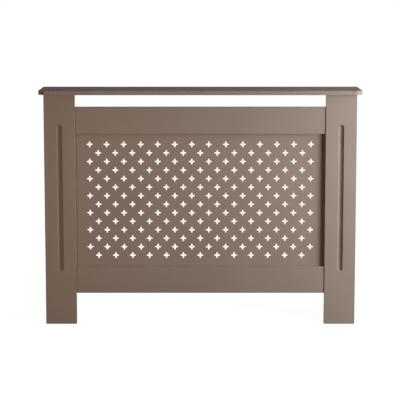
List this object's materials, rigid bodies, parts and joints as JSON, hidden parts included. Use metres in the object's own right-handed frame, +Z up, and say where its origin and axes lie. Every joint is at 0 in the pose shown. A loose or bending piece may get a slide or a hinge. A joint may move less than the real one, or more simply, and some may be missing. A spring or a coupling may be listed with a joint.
{
  "type": "radiator cover",
  "caption": "Painted radiator cover: a corner-cut shelf on fluted posts, with rails holding a panel pierced with staggered crosses.",
  "frame": {"origin": "on the floor, under the middle of the cover: the centre of the bottom of its bounding box", "axes": "+X along the width, to the right as seen from the front; +Y from the front towards the wall; +Z up"},
  "size_m": [1.115, 0.19, 0.82],
  "materials": {
    "painted_board": "satin taupe paint on MDF",
    "beech": "bare turned beech",
    "cast_zinc": "dull die-cast zinc",
    "plated_steel": "bright zinc-plated steel"
  },
  "bodies": {
    "cabinet": {"top_rail_left_cam_bolt": "plated_steel", "top_rail_left_dowel": "beech", "top_rail_right_cam_bolt": "plated_steel", "top_rail_right_dowel": "beech", "bottom_rail_left_cam_bolt": "plated_steel", "bottom_rail_left_dowel": "beech", "bottom_rail_right_cam_bolt": "plated_steel", "bottom_rail_right_dowel": "beech", "shelf_left_front_cam_bolt": "plated_steel", "shelf_left_rear_cam_bolt": "plated_steel", "shelf_left_side_dowel": "beech", "shelf_left_post_dowel": "beech", "shelf_right_front_cam_bolt": "plated_steel", "shelf_right_rear_cam_bolt": "plated_steel", "shelf_right_side_dowel": "beech", "shelf_right_post_dowel": "beech", "left_side_1_dowel": "beech", "left_side_2_dowel": "beech", "left_side_3_dowel": "beech", "right_side_1_dowel": "beech", "right_side_2_dowel": "beech", "right_side_3_dowel": "beech", "grille_top_1_screw": "plated_steel", "grille_top_2_screw": "plated_steel", "grille_top_3_screw": "plated_steel", "grille_top_4_screw": "plated_steel", "grille_bottom_1_screw": "plated_steel", "grille_bottom_2_screw": "plated_steel", "grille_bottom_3_screw": "plated_steel", "grille_bottom_4_screw": "plated_steel", "left_bracket_rear_screw": "plated_steel", "left_bracket_front_screw": "plated_steel", "left_wall_bracket": "plated_steel", "right_bracket_rear_screw": "plated_steel", "right_bracket_front_screw": "plated_steel", "right_wall_bracket": "plated_steel", "top_shelf": "painted_board", "left_post": "painted_board", "right_post": "painted_board", "left_side": "painted_board", "right_side": "painted_board", "top_rail": "painted_board", "bottom_rail": "painted_board", "grille_panel": "painted_board"},
    "top_rail_left_cam_body": {"top_rail_left_cam": "cast_zinc"},
    "top_rail_right_cam_body": {"top_rail_right_cam": "cast_zinc"},
    "bottom_rail_left_cam_body": {"bottom_rail_left_cam": "cast_zinc"},
    "bottom_rail_right_cam_body": {"bottom_rail_right_cam": "cast_zinc"},
    "shelf_left_front_cam_body": {"shelf_left_front_cam": "cast_zinc"},
    "shelf_left_rear_cam_body": {"shelf_left_rear_cam": "cast_zinc"},
    "shelf_right_front_cam_body": {"shelf_right_front_cam": "cast_zinc"},
    "shelf_right_rear_cam_body": {"shelf_right_rear_cam": "cast_zinc"}
  },
  "joints": [
    {"name": "top_rail_left_cam_turn", "type": "hinge", "parent": "cabinet", "child": "top_rail_left_cam_body", "pos_m": [-0.4085, -0.0595, 0.738], "axis": [0, 1, 0], "range_deg": [0, 180]},
    {"name": "top_rail_right_cam_turn", "type": "hinge", "parent": "cabinet", "child": "top_rail_right_cam_body", "pos_m": [0.4085, -0.0595, 0.738], "axis": [0, 1, 0], "range_deg": [0, 180]},
    {"name": "bottom_rail_left_cam_turn", "type": "hinge", "parent": "cabinet", "child": "bottom_rail_left_cam_body", "pos_m": [-0.4085, -0.0595, 0.135], "axis": [0, 1, 0], "range_deg": [0, 180]},
    {"name": "bottom_rail_right_cam_turn", "type": "hinge", "parent": "cabinet", "child": "bottom_rail_right_cam_body", "pos_m": [0.4085, -0.0595, 0.135], "axis": [0, 1, 0], "range_deg": [0, 180]},
    {"name": "shelf_left_front_cam_turn", "type": "hinge", "parent": "cabinet", "child": "shelf_left_front_cam_body", "pos_m": [-0.525, -0.0245, 0.781], "axis": [1, 0, 0], "range_deg": [0, 180]},
    {"name": "shelf_left_rear_cam_turn", "type": "hinge", "parent": "cabinet", "child": "shelf_left_rear_cam_body", "pos_m": [-0.525, 0.06, 0.781], "axis": [1, 0, 0], "range_deg": [0, 180]},
    {"name": "shelf_right_front_cam_turn", "type": "hinge", "parent": "cabinet", "child": "shelf_right_front_cam_body", "pos_m": [0.525, -0.0245, 0.781], "axis": [-1, 0, 0], "range_deg": [0, 180]},
    {"name": "shelf_right_rear_cam_turn", "type": "hinge", "parent": "cabinet", "child": "shelf_right_rear_cam_body", "pos_m": [0.525, 0.06, 0.781], "axis": [-1, 0, 0], "range_deg": [0, 180]}
  ]
}
